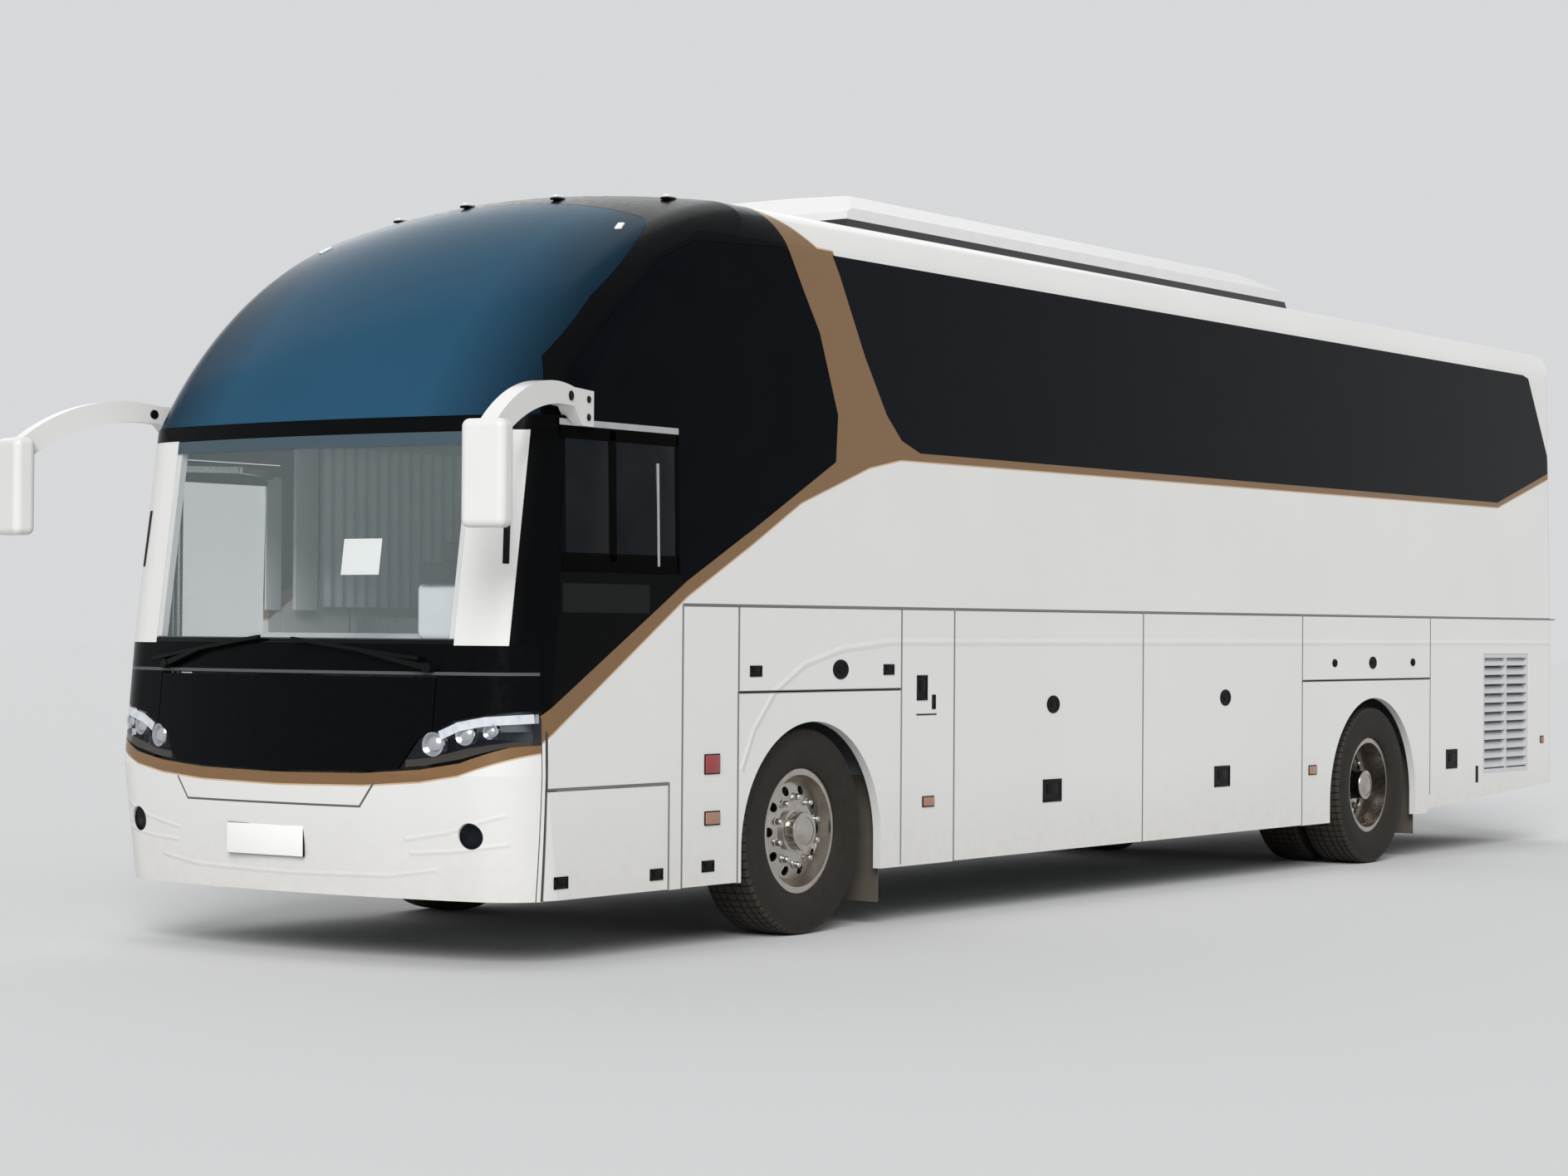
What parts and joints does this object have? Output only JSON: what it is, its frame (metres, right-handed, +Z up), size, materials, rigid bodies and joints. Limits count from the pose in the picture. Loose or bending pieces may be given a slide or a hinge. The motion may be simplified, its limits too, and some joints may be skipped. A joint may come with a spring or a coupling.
{
  "type": "touring coach",
  "caption": "Single-deck high-floor touring coach with luggage bays under the saloon, a plug entry door, opening lids and turning, steering wheels.",
  "frame": {"origin": "on the ground at the middle of the coach's box", "axes": "+X forward along the coach, +Y to the driver's left, +Z up"},
  "size_m": [12.3333, 3.13, 3.8149],
  "materials": {
    "body_paint": "satin",
    "dark_paint": "gloss",
    "tinted_glass": "gloss",
    "clear_glass": "gloss",
    "lamp_lens": "gloss",
    "red_lens": "gloss",
    "grey_plastic": "matte",
    "unit_plastic": "satin",
    "black_steel": "satin",
    "floor_board": "matte",
    "polished_wheel": "polished",
    "cast_parts": "matte",
    "bright_bars": "brushed",
    "tyre": "matte",
    "seat_cloth": "matte",
    "flap_rubber": "matte"
  },
  "bodies": {
    "body": {"side_left": "body_paint", "side_right": "body_paint", "roof": "body_paint", "pillar_covers": "body_paint", "front_bumper": "body_paint", "rear_panel": "body_paint", "rear_bumper": "body_paint", "mirrors": "body_paint", "front_cap": "dark_paint", "front_fascia": "dark_paint", "front_side_glass": "tinted_glass", "saloon_glass": "tinted_glass", "windscreen_upper": "tinted_glass", "rear_window": "tinted_glass", "windscreen_lower": "clear_glass", "head_lamps": "lamp_lens", "tail_lamps": "red_lens", "side_grilles": "grey_plastic", "dashboard": "grey_plastic", "steering_wheel": "grey_plastic", "wipers": "grey_plastic", "roof_unit": "unit_plastic", "underframe": "black_steel", "deck": "floor_board", "engine": "cast_parts", "front_axle": "cast_parts", "rear_axle": "cast_parts", "seats": "seat_cloth", "mud_flaps": "flap_rubber"},
    "knuckle_left": {"knuckle_left": "cast_parts"},
    "knuckle_right": {"knuckle_right": "cast_parts"},
    "track_rod": {"track_rod": "cast_parts"},
    "wheel_front_left": {"tyre_front_left": "tyre", "rim_front_left": "polished_wheel"},
    "wheel_front_right": {"tyre_front_right": "tyre", "rim_front_right": "polished_wheel"},
    "wheels_rear_left": {"tyres_rear_left": "tyre", "rims_rear_left": "polished_wheel"},
    "wheels_rear_right": {"tyres_rear_right": "tyre", "rims_rear_right": "polished_wheel"},
    "door_arms": {"door_arms": "bright_bars"},
    "entry_door": {"entry_door": "body_paint", "entry_door_glass": "tinted_glass"},
    "luggage_door_left_1": {"luggage_door_left_1": "body_paint"},
    "luggage_door_left_2": {"luggage_door_left_2": "body_paint"},
    "front_wheel_hatch_left": {"front_wheel_hatch_left": "body_paint"},
    "rear_wheel_hatch_left": {"rear_wheel_hatch_left": "body_paint"},
    "luggage_door_right_1": {"luggage_door_right_1": "body_paint"},
    "luggage_door_right_2": {"luggage_door_right_2": "body_paint"},
    "front_wheel_hatch_right": {"front_wheel_hatch_right": "body_paint"},
    "rear_wheel_hatch_right": {"rear_wheel_hatch_right": "body_paint"},
    "front_locker_lid": {"front_locker_lid": "body_paint"},
    "service_flap": {"service_flap": "body_paint"},
    "front_flap": {"front_flap": "dark_paint"},
    "engine_lid": {"engine_lid": "body_paint"}
  },
  "joints": [
    {"name": "luggage_door_left_1_hinge", "type": "hinge", "parent": "body", "child": "luggage_door_left_1", "pos_m": [1.09, 1.273, 1.61], "axis": [1, 0, 0], "range_deg": [0, 90]},
    {"name": "luggage_door_left_2_hinge", "type": "hinge", "parent": "body", "child": "luggage_door_left_2", "pos_m": [-0.95, 1.273, 1.61], "axis": [1, 0, 0], "range_deg": [0, 90]},
    {"name": "front_wheel_hatch_left_hinge", "type": "hinge", "parent": "body", "child": "front_wheel_hatch_left", "pos_m": [3.316, 1.273, 1.61], "axis": [1, 0, 0], "range_deg": [0, 90]},
    {"name": "rear_wheel_hatch_left_hinge", "type": "hinge", "parent": "body", "child": "rear_wheel_hatch_left", "pos_m": [-2.94, 1.273, 1.61], "axis": [1, 0, 0], "range_deg": [0, 90]},
    {"name": "luggage_door_right_1_hinge", "type": "hinge", "parent": "body", "child": "luggage_door_right_1", "pos_m": [1.09, -1.273, 1.61], "axis": [-1, 0, 0], "range_deg": [0, 90]},
    {"name": "luggage_door_right_2_hinge", "type": "hinge", "parent": "body", "child": "luggage_door_right_2", "pos_m": [-0.95, -1.273, 1.61], "axis": [-1, 0, 0], "range_deg": [0, 90]},
    {"name": "front_wheel_hatch_right_hinge", "type": "hinge", "parent": "body", "child": "front_wheel_hatch_right", "pos_m": [3.316, -1.273, 1.61], "axis": [-1, 0, 0], "range_deg": [0, 90]},
    {"name": "rear_wheel_hatch_right_hinge", "type": "hinge", "parent": "body", "child": "rear_wheel_hatch_right", "pos_m": [-2.94, -1.273, 1.61], "axis": [-1, 0, 0], "range_deg": [0, 90]},
    {"name": "front_locker_lid_hinge", "type": "hinge", "parent": "body", "child": "front_locker_lid", "pos_m": [4.995, 1.273, 0.783], "axis": [1, 0, 0], "range_deg": [0, 90]},
    {"name": "service_flap_hinge", "type": "hinge", "parent": "body", "child": "service_flap", "pos_m": [4.245, 1.273, 1.61], "axis": [1, 0, 0], "range_deg": [0, 90]},
    {"name": "front_flap_hinge", "type": "hinge", "parent": "body", "child": "front_flap", "pos_m": [5.7788, 0, 1.284], "axis": [0, -1, 0], "range_deg": [0, 75]},
    {"name": "engine_lid_hinge", "type": "hinge", "parent": "body", "child": "engine_lid", "pos_m": [-6.173, 0, 1.85], "axis": [0, 1, 0], "range_deg": [0, 80]},
    {"name": "steer_left", "type": "hinge", "parent": "body", "child": "knuckle_left", "pos_m": [3.395, 0.93, 0.51], "axis": [0, 0, 1], "range_deg": [-38, 38]},
    {"name": "steer_right", "type": "hinge", "parent": "body", "child": "knuckle_right", "pos_m": [3.395, -0.93, 0.51], "axis": [0, 0, 1], "range_deg": [-38, 38]},
    {"name": "track_rod_swing", "type": "hinge", "parent": "knuckle_left", "child": "track_rod", "pos_m": [3.175, 0.93, 0.355], "axis": [0, 0, 1], "range_deg": [-38, 38]},
    {"name": "wheel_spin_front_left", "type": "hinge", "parent": "knuckle_left", "child": "wheel_front_left", "pos_m": [3.395, 1.08, 0.51], "axis": [0, 1, 0], "continuous": true},
    {"name": "wheel_spin_front_right", "type": "hinge", "parent": "knuckle_right", "child": "wheel_front_right", "pos_m": [3.395, -1.08, 0.51], "axis": [0, 1, 0], "continuous": true},
    {"name": "wheel_spin_rear_left", "type": "hinge", "parent": "body", "child": "wheels_rear_left", "pos_m": [-3.069, 0.93, 0.51], "axis": [0, 1, 0], "continuous": true},
    {"name": "wheel_spin_rear_right", "type": "hinge", "parent": "body", "child": "wheels_rear_right", "pos_m": [-3.069, -0.93, 0.51], "axis": [0, 1, 0], "continuous": true},
    {"name": "door_swing", "type": "hinge", "parent": "body", "child": "door_arms", "pos_m": [5.295, -1.18, 1.5], "axis": [0, 0, 1], "range_deg": [0, 125]},
    {"name": "door_level", "type": "hinge", "parent": "door_arms", "child": "entry_door", "pos_m": [4.7, -1.18, 1.5], "axis": [0, 0, 1], "range_deg": [-125, 0]}
  ],
  "couplings": [
    {"joint": "steer_right", "follows": "steer_left", "ratio": 1},
    {"joint": "track_rod_swing", "follows": "steer_left", "ratio": -1},
    {"joint": "door_level", "follows": "door_swing", "ratio": -1}
  ]
}
